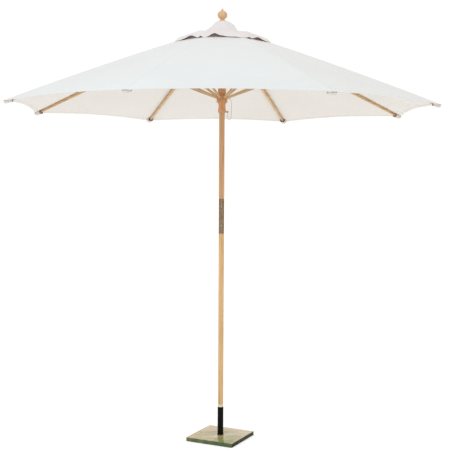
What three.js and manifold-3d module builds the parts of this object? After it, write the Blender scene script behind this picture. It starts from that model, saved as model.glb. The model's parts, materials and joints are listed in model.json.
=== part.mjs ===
// A wooden market umbrella standing in a square stone base.
//
// Millimetres, +Z up. The origin is the centre of the base plate's underside, and the plate's
// sides lie along X and Y. Azimuths are turned from -Y towards +X.
//
// The mast comes apart at a ferrule and lifts out of the tube on the base. Eight ribs hinge on a
// wire ring in the crown, and a strut on each rib comes down to a slot in the runner.
import * as THREE from 'three';
import { mergeVertices } from 'three/addons/utils/BufferGeometryUtils.js';
import Module from 'manifold-3d';

const wasm = await Module();
wasm.setup();

const DEG = Math.PI / 180;

// ---- driving dimensions -----------------------------------------------------------------------

const GAP = 0.3;                 // left between pieces that touch
const RIB_COUNT = 8;
const FIRST_RIB_AZIMUTH = 6.2;   // degrees
const FRONT_AZIMUTH = 26.9;      // the side that the ferrule's screws face
const SECTOR = 360 / RIB_COUNT;

const PLATE = { side: 326, thickness: 25, chamfer: 1.6, corner: 3 };
const TUBE = { outer: 19, inner: 17.85, top: 207, foot: 19 };
const BOLT = { shank: 5, head: 9, headHeight: 6, recess: 10, recessRadius: 18, washer: 15 };
const COLLAR = { bore: 16.9, sleeve: 17.5, lip: 17.9, lipHeight: 16.7, bottom: 120 };

const POLE_RADIUS = 17.5;
const FOOT_RADIUS = 16.5;        // the pole's foot, inside the collar
const TENON_RADIUS = 16;
const FERRULE = { inner: 16.3, outer: 17.7, bottom: 1329, top: 1551 };
const POLE_JOINT_Z = 1440;       // where the two halves of the pole meet inside the ferrule
const SCREW = { shank: 2, head: 3.6, headHeight: 1.2, lowerZ: 1380, upperZ: 1500 };
const POLE_TOP = 2642;

const CANOPY_RADIUS = 1370;      // axis to a corner of the canopy
const FABRIC = 2.2;              // thickness of the cloth solids
const VENT_HOLE = 150;           // radius of the opening at the top of the main canopy
const SCALLOP = 32;              // how far the hem curves in between two ribs

const HINGE_RADIUS = 44;         // axis to the rib hinges
const RIB = { width: 16, height: 24, tipHeight: 15, taperFrom: 600, tip: 1356, clearance: 1.8 };
const RING_WIRE = 2;
const STRUT = { width: 12, height: 13, outerEnd: 575, innerEnd: 31.5, innerZ: 2188 };
const PIVOT_DROP = 10;           // strut pivot below the underside of the rib

const CROWN = { bore: 17.9, boss: 25.5, bottom: 2570, discBottom: 2588, discTop: 2630,
  disc: 58, slotFloor: 31, slotTop: 2618.5, neck: 30, capBottom: 2648, cap: 42, top: 2663.6 };
const RUNNER = { bore: 19.7, core: 24.6, bottom: 2095, discBottom: 2158, slotFloor: 2178,
  disc: 34, discTop: 2206, top: 2250, barrel: 26, waist: 22.2, bead: 24.4 };
const PEG = { shaft: 3, neck: 3.8, head: 5, flare: 7, azimuth: FIRST_RIB_AZIMUTH + 2.5 * SECTOR,
  z: 2102, length: 17 };
const CORD_RADIUS = 1.5;

const VENT = { split: 64, hem: 305, ribDrop: 27 };
const STUD = { radius: 4, bottom: 2600, top: 2698 };
const CLEAR = 0.4;               // radial clearance round studs, screws and bolts

// ---- looks ------------------------------------------------------------------------------------

function material(color, roughness, metalness = 0) {
  return new THREE.MeshStandardMaterial({ color, roughness, metalness });
}

const honeyWood = material(0xd9b98c, 0.5);
const agedBrass = material(0x8a7a62, 0.4, 0.9);
const brightSteel = material(0xc6c6c2, 0.3, 1);
const blackSteel = material(0x17181a, 0.35, 0.6);
const greenMarble = material(0x4c6a58, 0.15);
const palePlastic = material(0xd8cfc0, 0.4);
const whiteCloth = material(0xe9e8e4, 0.9);
const creamCord = material(0xd6d0c4, 0.9);

// ---- geometry helpers -------------------------------------------------------------------------

function positionsOnly(geometry) {
  const bare = geometry.clone();
  for (const name of Object.keys(bare.attributes)) {
    if (name !== 'position') bare.deleteAttribute(name);
  }
  return mergeVertices(bare, 1e-4);
}

function toSolid(geometry) {
  const bare = positionsOnly(geometry);
  return new wasm.Manifold(new wasm.Mesh({
    numProp: 3,
    vertProperties: new Float32Array(bare.attributes.position.array),
    triVerts: new Uint32Array(bare.index.array),
  }));
}

function fromSolid(solid) {
  const mesh = solid.getMesh();
  const geometry = new THREE.BufferGeometry();
  geometry.setAttribute('position', new THREE.BufferAttribute(mesh.vertProperties, 3));
  geometry.setIndex(new THREE.BufferAttribute(mesh.triVerts, 1));
  geometry.computeVertexNormals();
  return geometry;
}

// The first geometry with the others joined to it.
function join(first, ...others) {
  return fromSolid(others.reduce((solid, other) => solid.add(toSolid(other)), toSolid(first)));
}

// The first geometry with the others cut out of it.
function cut(first, ...others) {
  return fromSolid(others.reduce((solid, other) => solid.subtract(toSolid(other)), toSolid(first)));
}

// A turned piece: the profile is a list of [radius, z] going up the outside.
function turned(profile, sides = 32) {
  const points = profile.map(([radius, z]) => new THREE.Vector2(radius, z));
  return new THREE.LatheGeometry(points, sides).rotateX(Math.PI / 2);
}

// A turned ring or tube: the [radius, z] outline closes on itself.
function turnedRing(outline, sides = 32) {
  return turned([...outline, outline[0]], sides);
}

function rod(radius, bottom, top, sides = 24) {
  return turned([[0, bottom], [radius, bottom], [radius, top], [0, top]], sides);
}

// A rod along +X from one distance to another, at a height.
function rodAlongX(radius, from, to, z, sides = 20) {
  return rod(radius, from, to, sides).rotateY(Math.PI / 2).translate(0, 0, z);
}

// A rod along Y, centred on the XZ plane at (x, z).
function rodAlongY(radius, width, x, z, sides = 12) {
  return rod(radius, -width / 2, width / 2, sides).rotateX(Math.PI / 2).translate(x, 0, z);
}

// An outline drawn in the plane of a rib, with x away from the axis and y up, given a width.
function plank(shape, width) {
  const geometry = new THREE.ExtrudeGeometry(shape, {
    depth: width, bevelEnabled: false, curveSegments: 6,
  });
  return geometry.translate(0, 0, -width / 2).rotateX(Math.PI / 2);
}

function box(xs, ys, zs) {
  const geometry = new THREE.BoxGeometry(xs[1] - xs[0], ys[1] - ys[0], zs[1] - zs[0]);
  return geometry.translate((xs[0] + xs[1]) / 2, (ys[0] + ys[1]) / 2, (zs[0] + zs[1]) / 2);
}

// ---- the canopy's shape -----------------------------------------------------------------------

// Height of the cloth's top side over a rib: a straight fall with a slight upward bow.
function ridgeZ(radius) {
  const along = radius / CANOPY_RADIUS;
  const apex = 2633;
  const fall = 514;
  const bow = 12.2;
  return apex - fall * along + 4 * bow * along * (1 - along);
}

function ridgeSlope(radius) {
  return Math.atan((ridgeZ(radius - 1) - ridgeZ(radius + 1)) / 2);
}

// The cloth falls away on both sides of a rib, so the rib's top edges set its clearance.
function ribTopZ(radius) {
  return ridgeZ(radius) - FABRIC - RIB.clearance;
}

function ribHeight(radius) {
  const past = Math.max(0, radius - RIB.taperFrom) / (RIB.tip - RIB.taperFrom);
  return RIB.height + (RIB.tipHeight - RIB.height) * past;
}

const HINGE_Z = ribTopZ(HINGE_RADIUS) - RIB.height / 2;

// The pivot between a rib and its strut, on the bracket under the rib.
const PIVOT_SLOPE = ridgeSlope(STRUT.outerEnd);
const PIVOT = {
  x: STRUT.outerEnd - PIVOT_DROP * Math.sin(PIVOT_SLOPE),
  z: ribTopZ(STRUT.outerEnd) - ribHeight(STRUT.outerEnd) - PIVOT_DROP * Math.cos(PIVOT_SLOPE),
};

// ---- the base ---------------------------------------------------------------------------------

function basePlate() {
  const { side, thickness, chamfer, corner } = PLATE;
  const half = side / 2 - chamfer;
  const square = new THREE.Shape();
  square.moveTo(-half + corner, -half);
  for (const [quarter, x, y] of [[-1, 1, -1], [0, 1, 1], [1, -1, 1], [2, -1, -1]]) {
    const from = quarter * Math.PI / 2;
    square.absarc(x * (half - corner), y * (half - corner), corner, from, from + Math.PI / 2);
  }
  const slab = new THREE.ExtrudeGeometry(square, {
    depth: thickness - 2 * chamfer, bevelEnabled: true, bevelThickness: chamfer,
    bevelSize: chamfer, bevelSegments: 1, curveSegments: 4,
  }).translate(0, 0, chamfer);
  const boltHole = rod(BOLT.shank + 1, -1, thickness + 1);
  const recess = rod(BOLT.recessRadius, -1, BOLT.recess, 40);
  return cut(slab, boltHole, recess);
}

function baseTube() {
  const bottom = PLATE.thickness + GAP;
  const hole = BOLT.shank + CLEAR;
  return turnedRing([
    [hole, bottom], [TUBE.outer, bottom], [TUBE.outer, TUBE.top], [TUBE.inner, TUBE.top],
    [TUBE.inner, bottom + TUBE.foot], [hole, bottom + TUBE.foot],
  ], 48);
}

function baseWasher() {
  const top = BOLT.recess - GAP;
  const hole = BOLT.shank + CLEAR;
  return turnedRing([[hole, top - 2], [BOLT.washer, top - 2], [BOLT.washer, top], [hole, top]], 40);
}

function baseBolt() {
  const headTop = BOLT.recess - 2 - 2 * GAP;
  const hexHead = rod(BOLT.head, headTop - BOLT.headHeight, headTop, 6);
  return join(hexHead, rod(BOLT.shank, headTop - 1, PLATE.thickness + TUBE.foot - 4));
}

// ---- the pole ---------------------------------------------------------------------------------

// A plastic sleeve that centres the pole's foot in the tube, with a lip on the tube's mouth.
function poleCollar() {
  const { bore, sleeve, lip, lipHeight, bottom } = COLLAR;
  const lipBottom = TUBE.top + GAP;
  return turnedRing([[bore, bottom], [sleeve, bottom], [sleeve, lipBottom], [lip + 0.6, lipBottom],
    [lip, lipBottom + 1.5], [lip, lipBottom + lipHeight], [bore, lipBottom + lipHeight]], 40);
}

function lowerPole() {
  const bottom = PLATE.thickness + TUBE.foot + 2 * GAP;
  const shoulder = FERRULE.bottom - GAP;
  const footTop = TUBE.top + COLLAR.lipHeight + 2 * GAP;
  const pole = turned([[0, bottom], [FOOT_RADIUS - 1, bottom], [FOOT_RADIUS, bottom + 1],
    [FOOT_RADIUS, footTop], [POLE_RADIUS, footTop], [POLE_RADIUS, shoulder],
    [TENON_RADIUS, shoulder], [TENON_RADIUS, POLE_JOINT_Z - GAP], [0, POLE_JOINT_Z - GAP]]);
  const hole = rodAlongX(SCREW.shank + CLEAR, 6, POLE_RADIUS + 1, SCREW.lowerZ);
  return cut(pole, hole.rotateZ((FRONT_AZIMUTH - 90) * DEG));
}

function ferrule() {
  const sleeve = turnedRing([[FERRULE.inner, FERRULE.bottom], [FERRULE.outer, FERRULE.bottom],
    [FERRULE.outer, FERRULE.top], [FERRULE.inner, FERRULE.top]], 48);
  const holes = [SCREW.lowerZ, SCREW.upperZ].map((z) => (
    rodAlongX(SCREW.shank + CLEAR, 6, FERRULE.outer + 3, z).rotateZ((FRONT_AZIMUTH - 90) * DEG)
  ));
  return cut(sleeve, ...holes);
}

// A dome-headed screw through the ferrule, reaching in to a given distance from the axis.
function ferruleScrew(z, tip) {
  const seat = FERRULE.outer + GAP / 2;
  const { shank, head, headHeight } = SCREW;
  const screw = turned([[0, tip], [shank, tip], [shank, seat], [head, seat],
    [head * 0.8, seat + headHeight * 0.75], [0, seat + headHeight]], 20);
  return screw.rotateY(Math.PI / 2).translate(0, 0, z).rotateZ((FRONT_AZIMUTH - 90) * DEG);
}

function upperPole() {
  const shoulder = FERRULE.top + GAP;
  const hole = STUD.radius + CLEAR;
  return turned([[0, POLE_JOINT_Z + GAP], [TENON_RADIUS, POLE_JOINT_Z + GAP],
    [TENON_RADIUS, shoulder], [POLE_RADIUS, shoulder], [POLE_RADIUS, POLE_TOP],
    [hole, POLE_TOP], [hole, STUD.bottom - GAP], [0, STUD.bottom - GAP]]);
}

// ---- the crown and the finial -----------------------------------------------------------------

function crown() {
  const { bore, boss, bottom, discBottom, discTop, disc, slotFloor, slotTop, neck,
    capBottom, cap, top } = CROWN;
  const studHole = STUD.radius + CLEAR;
  const boreTop = POLE_TOP + GAP;
  const hub = turnedRing([[bore, bottom], [boss, bottom], [boss, discBottom], [disc, discBottom],
    [disc, discTop - 3], [disc - 3, discTop], [neck, discTop], [neck, capBottom],
    [cap - 2, capBottom], [cap, capBottom + 2], [cap, top - 3], [cap - 3, top],
    [studHole, top], [studHole, boreTop], [bore, boreTop]], 32);
  const slotWidth = RIB.width + 1.2;
  const slot = box([slotFloor, disc + 5], [-slotWidth / 2, slotWidth / 2], [discBottom - 5, slotTop]);
  const slots = azimuths().map((azimuth) => slot.clone().rotateZ((azimuth - 90) * DEG));
  const wire = RING_WIRE + CLEAR;
  const groove = turnedRing([[HINGE_RADIUS - wire, discBottom - 1], [HINGE_RADIUS + wire, discBottom - 1],
    [HINGE_RADIUS + wire, HINGE_Z + wire], [HINGE_RADIUS - wire, HINGE_Z + wire]], 48);
  return cut(hub, ...slots, groove);
}

function crownRing() {
  return new THREE.TorusGeometry(HINGE_RADIUS, RING_WIRE, 6, 48).translate(0, 0, HINGE_Z);
}

function finialStud() {
  return rod(STUD.radius, STUD.bottom, STUD.top);
}

// An onion on a flared foot, bored for the stud.
function finial() {
  const hole = STUD.radius + CLEAR;
  const bottom = CROWN.top + 3.5;
  const foot = [[23, 0], [23.5, 2], [20, 5], [15, 9], [13.6, 13]];
  const onion = [[15, 16], [22, 20], [28, 27], [30.6, 35], [31, 42], [29.5, 50], [25, 57],
    [18, 63], [11.5, 67.5], [7, 72], [4.6, 77], [3, 81], [0, 82.9]];
  const outline = [...foot, ...onion].map(([radius, height]) => [radius, bottom + height]);
  return turned([[0, STUD.top + 2], [hole, STUD.top + 2], [hole, bottom], ...outline], 28);
}

// ---- the runner -------------------------------------------------------------------------------

function runner() {
  const { bore, core, bottom, discBottom, disc, discTop, top, barrel, waist, bead } = RUNNER;
  const hub = turnedRing([[bore, bottom], [bead - 2, bottom], [bead, bottom + 4],
    [bead, bottom + 23], [bead - 2, bottom + 28], [waist, bottom + 36], [waist, bottom + 50],
    [core, discBottom - 6], [core, discBottom], [disc - 1, discBottom], [disc, discBottom + 1],
    [disc, discTop - 1], [disc - 1, discTop], [waist, discTop], [waist, discTop + 8],
    [barrel, discTop + 13], [barrel, top - 4], [barrel - 3, top], [bore, top]], 32);
  const slotWidth = STRUT.width + 1;
  const slot = box([core + 0.3, disc + 5], [-slotWidth / 2, slotWidth / 2],
    [RUNNER.slotFloor, discTop + 5]);
  const slots = azimuths().map((azimuth) => slot.clone().rotateZ((azimuth - 90) * DEG));
  const pegHole = rodAlongX(PEG.shaft + CLEAR, bore - 3, bead + 3, PEG.z);
  return cut(hub, ...slots, pegHole.rotateZ((PEG.azimuth - 90) * DEG));
}

// The locking peg: its shaft passes through the runner's wall, and the cord is tied to its head,
// which flares only where it is clear of the struts on both sides.
function lockPeg() {
  const tip = POLE_RADIUS + 0.5;
  const seat = RUNNER.bead + 0.8;
  const peg = turned([[0, tip], [PEG.shaft - 0.6, tip], [PEG.shaft, tip + 1], [PEG.shaft, seat],
    [PEG.neck, seat], [PEG.head, seat + PEG.flare], [PEG.head, seat + PEG.length - 2],
    [PEG.head - 1.5, seat + PEG.length],
    [0, seat + PEG.length]], 20);
  return peg.rotateY(Math.PI / 2).translate(0, 0, PEG.z).rotateZ((PEG.azimuth - 90) * DEG);
}

// The cord from the runner's disc down and back up to the underside of the peg's head.
function pegCord() {
  const tooth = RUNNER.disc + GAP;
  const pegX = RUNNER.bead + 12;
  const pegUnderside = PEG.z - PEG.head - CORD_RADIUS;
  const route = [[tooth, 2185], [tooth + 8, 2186], [52, 2183], [59, 2166], [61, 2135],
    [60.5, 2100], [58, 2070], [52, 2055], [45, 2051.5], [38.5, 2056], [pegX - 0.5, 2070],
    [pegX, pegUnderside]];
  const path = new THREE.CatmullRomCurve3(route.map(([x, z]) => new THREE.Vector3(x, 0, z)));
  const section = new THREE.Shape();
  section.absarc(0, 0, CORD_RADIUS, 0, 2 * Math.PI);
  const cord = new THREE.ExtrudeGeometry(section, {
    steps: 48, curveSegments: 4, extrudePath: path,
  });
  return cord.rotateZ((PEG.azimuth - 90) * DEG);
}

// ---- ribs and struts --------------------------------------------------------------------------

function rib() {
  const shape = new THREE.Shape();
  const round = RIB.height / 2;
  const lean = ridgeSlope(HINGE_RADIUS);
  const steps = 8;
  const start = HINGE_RADIUS + 16;
  shape.absarc(HINGE_RADIUS, HINGE_Z, round, Math.PI / 2 - lean, 3 * Math.PI / 2 - lean);
  for (let step = 0; step <= steps; step += 1) {
    const radius = start + (RIB.tip - start) * step / steps;
    shape.lineTo(radius, ribTopZ(radius) - ribHeight(radius));
  }
  for (let step = steps; step >= 0; step -= 1) {
    const radius = start + (RIB.tip - start) * step / steps;
    shape.lineTo(radius, ribTopZ(radius));
  }
  const eye = new THREE.Path();
  eye.absarc(HINGE_RADIUS, HINGE_Z, RING_WIRE + 1.2, 0, 2 * Math.PI, true);
  shape.holes.push(eye);
  return plank(shape, RIB.width);
}

// A U-shaped metal bracket under the rib with the strut's pin across it, all one riveted piece.
function bracket() {
  const ear = new THREE.Shape();
  ear.absarc(0, 0, 7, Math.PI, 2 * Math.PI);
  ear.lineTo(9, PIVOT_DROP - 2);
  ear.lineTo(-9, PIVOT_DROP - 2);
  const sheet = 1.6;
  const side = RIB.width / 2 - sheet / 2;
  const foot = box([-22, 22], [-RIB.width / 2, RIB.width / 2], [PIVOT_DROP - 2.3, PIVOT_DROP - GAP]);
  const pin = rodAlongY(2.4, RIB.width + 2, 0, 0);
  return join(foot, plank(ear, sheet).translate(0, side, 0), plank(ear, sheet).translate(0, -side, 0), pin)
    .rotateY(PIVOT_SLOPE)
    .translate(PIVOT.x, 0, PIVOT.z);
}

// A strut with rounded ends, from the bracket's pin down to the runner's slot.
function strut() {
  const dx = STRUT.innerEnd - PIVOT.x;
  const dz = STRUT.innerZ - PIVOT.z;
  const length = Math.hypot(dx, dz);
  const outer = STRUT.height / 2;
  const inner = 6;
  const shape = new THREE.Shape();
  shape.absarc(0, 0, outer, Math.PI / 2, 3 * Math.PI / 2);
  shape.absarc(length, 0, inner, -Math.PI / 2, Math.PI / 2);
  for (const [x, radius] of [[0, 2.4 + CLEAR], [length, 2.2]]) {
    const eye = new THREE.Path();
    eye.absarc(x, 0, radius, 0, 2 * Math.PI, true);
    shape.holes.push(eye);
  }
  return plank(shape, STRUT.width)
    .rotateY(-Math.atan2(dz, dx))
    .translate(PIVOT.x, 0, PIVOT.z);
}

// ---- cloth ------------------------------------------------------------------------------------

// The stretch of cloth that one rib carries, out to the middle of the panels on both its sides.
// place(along, across) gives the [x, y, z] of the top side, for along 0 to 1 and across -1 to 1.
function clothSection(alongSteps, acrossSteps, place) {
  const sheet = new THREE.BoxGeometry(1, 2, 1, alongSteps, acrossSteps, 1);
  const position = sheet.attributes.position;
  for (let n = 0; n < position.count; n += 1) {
    const [x, y, z] = place(position.getX(n) + 0.5, position.getY(n));
    position.setXYZ(n, x, y, position.getZ(n) > 0 ? z : z - FABRIC);
  }
  return positionsOnly(sheet);
}

// A point at one ridge radius, between the rib (across 0) and the middle of a panel (across 1).
function flatPanelPoint(radius, across) {
  const half = SECTOR / 2 * DEG;
  const share = Math.abs(across);
  const x = radius * (1 - share * Math.sin(half) ** 2);
  const y = across * (radius * Math.cos(half) * Math.sin(half) - GAP);
  return [x, y];
}

function canopySection() {
  return clothSection(8, 6, (along, across) => {
    const scallop = SCALLOP * (1 - (1 - Math.abs(across)) ** 2);
    const radius = VENT_HOLE + (CANOPY_RADIUS - scallop - VENT_HOLE) * along;
    const [x, y] = flatPanelPoint(radius, across);
    return [x, y, ridgeZ(radius)];
  });
}

// The vent cap lies flat on the crown, comes down in a bell, and runs out in a low skirt.
const VENT_TOP = [[6, 2666.3], [41, 2666.3], [53, 2661], [VENT.split - GAP, 2648.3]];
const VENT_SKIRT = new THREE.SplineCurve([
  [VENT.split, 2648], [85, 2624], [113, 2604], [160, 2590], [221, 2580], [VENT.hem, 2558],
].map(([radius, z]) => new THREE.Vector2(radius, z)));

function ventCapTop() {
  const underside = VENT_TOP.map(([radius, z]) => [radius, z - FABRIC + GAP]).reverse();
  return turnedRing([...underside, ...VENT_TOP].reverse(), 32);
}

// Over a rib the outer part of the skirt is drawn down towards the canopy.
function ventDrop(radius, across) {
  const outward = THREE.MathUtils.smoothstep(radius, 220, VENT.hem);
  return VENT.ribDrop * outward * (1 - Math.abs(across)) ** 2;
}

function ventSection() {
  const steps = 8;
  return clothSection(steps, 6, (along, across) => {
    const { x: radius, y: z } = VENT_SKIRT.getPoint(along);
    const [x, y] = flatPanelPoint(radius / Math.cos(SECTOR / 2 * DEG) + GAP, across);
    return [x, y, z - ventDrop(radius, across)];
  });
}

// ---- assembly ---------------------------------------------------------------------------------

function azimuths() {
  return Array.from({ length: RIB_COUNT }, (_, n) => FIRST_RIB_AZIMUTH + n * SECTOR);
}

const umbrella = new THREE.Group();

function addPiece(name, geometry, look, parent = umbrella) {
  const mesh = new THREE.Mesh(geometry, look);
  mesh.name = name;
  parent.add(mesh);
}

addPiece('base_plate', basePlate(), greenMarble);
addPiece('base_tube', baseTube(), blackSteel);
addPiece('base_washer', baseWasher(), brightSteel);
addPiece('base_bolt', baseBolt(), brightSteel);
addPiece('pole_collar', poleCollar(), palePlastic);
addPiece('lower_pole', lowerPole(), honeyWood);
addPiece('ferrule', ferrule(), agedBrass);
addPiece('ferrule_screw_lower', ferruleScrew(SCREW.lowerZ, 7), brightSteel);
addPiece('ferrule_screw_upper', ferruleScrew(SCREW.upperZ, TENON_RADIUS + GAP), brightSteel);
addPiece('upper_pole', upperPole(), honeyWood);
addPiece('crown', crown(), honeyWood);
addPiece('crown_ring', crownRing(), brightSteel);
addPiece('finial_stud', finialStud(), brightSteel);
addPiece('finial', finial(), honeyWood);
addPiece('runner', runner(), honeyWood);
addPiece('lock_peg', lockPeg(), honeyWood);
addPiece('peg_cord', pegCord(), creamCord);
addPiece('vent_cap_top', ventCapTop(), whiteCloth);

const perRib = { rib: [rib(), honeyWood], bracket: [bracket(), agedBrass],
  strut: [strut(), honeyWood], canopy: [canopySection(), whiteCloth],
  vent_skirt: [ventSection(), whiteCloth] };

azimuths().forEach((azimuth, n) => {
  const arm = new THREE.Group();
  arm.rotation.z = (azimuth - 90) * DEG;
  umbrella.add(arm);
  for (const [name, [geometry, look]] of Object.entries(perRib)) {
    addPiece(`${name}_${n + 1}`, geometry, look, arm);
  }
});

export default umbrella;
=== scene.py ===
"""Looks for a wooden market umbrella in a square stone base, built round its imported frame.

Everything is in metres in the frame's axes: +Z up, the origin under the middle of the base.
"""
import json
import math

import bmesh
import bpy
import numpy as np
from mathutils import Matrix, Vector, noise


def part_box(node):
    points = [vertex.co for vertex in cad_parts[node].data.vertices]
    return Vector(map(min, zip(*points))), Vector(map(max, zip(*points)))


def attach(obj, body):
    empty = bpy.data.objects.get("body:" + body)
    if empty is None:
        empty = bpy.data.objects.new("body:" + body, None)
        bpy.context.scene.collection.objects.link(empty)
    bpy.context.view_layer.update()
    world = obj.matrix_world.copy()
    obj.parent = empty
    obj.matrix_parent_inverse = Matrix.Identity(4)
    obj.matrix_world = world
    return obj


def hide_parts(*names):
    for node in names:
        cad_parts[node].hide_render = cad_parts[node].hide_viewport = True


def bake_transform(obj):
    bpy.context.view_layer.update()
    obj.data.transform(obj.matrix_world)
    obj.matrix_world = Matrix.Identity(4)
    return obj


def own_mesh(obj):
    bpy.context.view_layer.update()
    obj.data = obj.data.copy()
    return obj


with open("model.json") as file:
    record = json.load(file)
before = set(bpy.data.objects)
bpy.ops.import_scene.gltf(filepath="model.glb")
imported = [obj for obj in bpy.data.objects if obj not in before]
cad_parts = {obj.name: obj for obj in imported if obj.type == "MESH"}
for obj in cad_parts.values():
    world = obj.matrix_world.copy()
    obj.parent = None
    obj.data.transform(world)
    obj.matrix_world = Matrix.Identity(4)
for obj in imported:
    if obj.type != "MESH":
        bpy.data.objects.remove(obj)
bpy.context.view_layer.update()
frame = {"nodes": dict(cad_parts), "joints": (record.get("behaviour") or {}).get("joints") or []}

RIBS = range(1, 9)
HALF_SECTOR = math.radians(22.5)
JOINTS = {joint["name"]: joint for joint in frame["joints"]}


# ---- camera ---------------------------------------------------------------------------------

def add_camera():
    """A camera at standing height, a little right of the plate's front, looking slightly down."""
    azimuth = math.radians(26.88)
    distance, height = 5.818, 1.698
    pan, tilt, roll = 0.015, -0.0649, -0.0059
    data = bpy.data.cameras.new("camera")
    data.sensor_width = 36
    data.lens = 69.83
    data.clip_end = 200
    camera = bpy.data.objects.new("camera", data)
    bpy.context.scene.collection.objects.link(camera)
    around = Matrix.Rotation(azimuth, 3, "Z")
    level_right = around @ Vector((math.cos(pan), -math.sin(pan), 0))
    ahead = around @ Vector((math.sin(pan), math.cos(pan), 0))
    up = Vector((0, 0, 1))
    forward = math.cos(tilt) * ahead + math.sin(tilt) * up
    level_up = math.cos(tilt) * up - math.sin(tilt) * ahead
    right = math.cos(roll) * level_right - math.sin(roll) * level_up
    top = math.sin(roll) * level_right + math.cos(roll) * level_up
    turn = Matrix((right, top, -forward)).transposed().to_4x4()
    place = Vector((distance * math.sin(azimuth), -distance * math.cos(azimuth), height))
    camera.matrix_world = Matrix.Translation(place) @ turn
    bpy.context.scene.camera = camera


# ---- places read from the frame --------------------------------------------------------------

def arm(k):
    """The turn that carries a rib drawn along +X to rib k."""
    x, y, _ = JOINTS[f"rib_{k}_fold"]["pos_m"]
    return Matrix.Rotation(math.atan2(y, x), 4, "Z")


def drawn_points(node):
    """The corners of one of rib 1's nodes, turned back so that the rib lies along +X."""
    back = np.array(arm(1).inverted().to_3x3())
    points = np.array([v.co for v in frame["nodes"][node].data.vertices], float)
    return points @ back.T


def ridge_curve():
    """The parabola that the top of the cloth follows over a rib, as polynomial factors."""
    points = drawn_points("canopy_1")
    line = points[np.abs(points[:, 1]) < 1e-4]
    radii = np.unique(np.round(line[:, 0], 5))
    tops = [line[np.abs(line[:, 0] - radius) < 1e-4, 2].max() for radius in radii]
    return np.polyfit(radii, tops, 2)


RIDGE = ridge_curve()
CANOPY = drawn_points("canopy_1")
CORNER = CANOPY[:, 0].max()                      # axis to a corner of the canopy
HALF_WAY = CANOPY[np.argmax(CANOPY[:, 1])]       # where the hem is, half-way to the next rib
SCALLOP = CORNER - HALF_WAY[0] / math.cos(HALF_SECTOR) ** 2
VENT_HOLE = CANOPY[:, 0].min() / math.cos(HALF_SECTOR) ** 2
HINGE = Vector((np.hypot(*JOINTS["rib_1_fold"]["pos_m"][:2]), 0, JOINTS["rib_1_fold"]["pos_m"][2]))
PIVOT = arm(1).inverted() @ Vector(JOINTS["strut_1_fold"]["pos_m"])
PEG_AXIS = Vector(JOINTS["peg_pull"]["axis"])


def ridge_z(radius):
    """Height of the top of the cloth over a rib."""
    return np.polyval(RIDGE, radius)


def middle_z(node):
    low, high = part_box(node)
    return (low.z + high.z) / 2


def on_peg_axis(reach, z):
    """A place so far out from the pole's axis on the locking peg's side, at a height."""
    return PEG_AXIS * reach + Vector((0, 0, z))


def pointing(axis):
    """The turn that carries +Z to an axis."""
    return Vector(axis).to_track_quat("Z", "Y").to_matrix().to_4x4()


def fit(piece, body, node=None):
    """The piece rides on the body; it may stand for a CAD node, which it hides."""
    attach(piece, body)
    if node:
        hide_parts(node)


# ---- mesh helpers ----------------------------------------------------------------------------

def add_piece(name, vertices, faces, *materials):
    mesh = bpy.data.meshes.new(name)
    mesh.from_pydata([tuple(v) for v in vertices], [], faces)
    mesh.update()
    piece = bpy.data.objects.new(name, mesh)
    bpy.context.scene.collection.objects.link(piece)
    for look in materials:
        mesh.materials.append(look)
    return piece


def store(piece, name, values):
    """Keeps three numbers for every corner of a piece under a name that its material reads."""
    layer = piece.data.attributes.new(name, "FLOAT_VECTOR", "POINT")
    layer.data.foreach_set("vector", np.array(values, np.float32).ravel())


def shade(piece, angle=35):
    """Smooth shading that breaks at edges sharper than the angle, in degrees."""
    mesh = piece.data
    mesh.polygons.foreach_set("use_smooth", [True] * len(mesh.polygons))
    mesh.set_sharp_from_angle(angle=math.radians(angle))
    return piece


def smooth_line(points, steps=6):
    """A Catmull-Rom curve through the points, with so many steps between each two."""
    points = [np.array(p, float) for p in points]
    padded = [2 * points[0] - points[1], *points, 2 * points[-1] - points[-2]]
    line = []
    for n in range(len(points) - 1):
        a, b, c, d = padded[n:n + 4]
        for step in range(steps):
            t = step / steps
            line.append(0.5 * (2 * b + (c - a) * t + (2 * a - 5 * b + 4 * c - d) * t ** 2
                               + (3 * b - a - 3 * c + d) * t ** 3))
    return [*line, points[-1]]


def rounded(points, radius, steps=3, closed=True):
    """A polygon's points with every corner replaced by a short curve."""
    points = [np.array(p, float) for p in points]
    count = len(points)
    line = []
    for n, corner in enumerate(points):
        if not closed and n in (0, count - 1):
            line.append(corner)
            continue
        before, after = points[n - 1] - corner, points[(n + 1) % count] - corner
        reach_in = min(radius, 0.45 * np.linalg.norm(before))
        reach_out = min(radius, 0.45 * np.linalg.norm(after))
        start = corner + before / np.linalg.norm(before) * reach_in
        end = corner + after / np.linalg.norm(after) * reach_out
        for step in range(steps + 1):
            t = step / steps
            line.append((1 - t) ** 2 * start + 2 * t * (1 - t) * corner + t ** 2 * end)
    return line


def circle(radius, sides=16):
    turns = [2 * math.pi * n / sides for n in range(sides)]
    return [(radius * math.cos(t), radius * math.sin(t)) for t in turns]


def quarter(width, height, steps):
    """Points round a quarter of an oval, from its side to its top."""
    turns = [math.pi / 2 * n / steps for n in range(steps + 1)]
    return [(width * math.cos(t), height * math.sin(t)) for t in turns]


def lathe(name, outline, look, sides=96):
    """A turned piece. The outline of (radius, z) goes up the outside, and closes on itself
    unless it starts and ends on the axis."""
    axis = 1e-7
    vertices, rings = [], []
    for radius, z in outline:
        if radius < axis:
            rings.append([len(vertices)] * sides)
            vertices.append((0, 0, z))
        else:
            rings.append(list(range(len(vertices), len(vertices) + sides)))
            vertices += [(x, y, z) for x, y in circle(radius, sides)]
    faces = []
    for lower, upper in zip(rings, rings[1:] if outline[0][0] < axis else rings[1:] + rings[:1]):
        for n in range(sides):
            m = (n + 1) % sides
            face = list(dict.fromkeys([lower[n], lower[m], upper[m], upper[n]]))
            if len(face) > 2:
                faces.append(face)
    return add_piece(name, vertices, faces, look)


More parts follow.
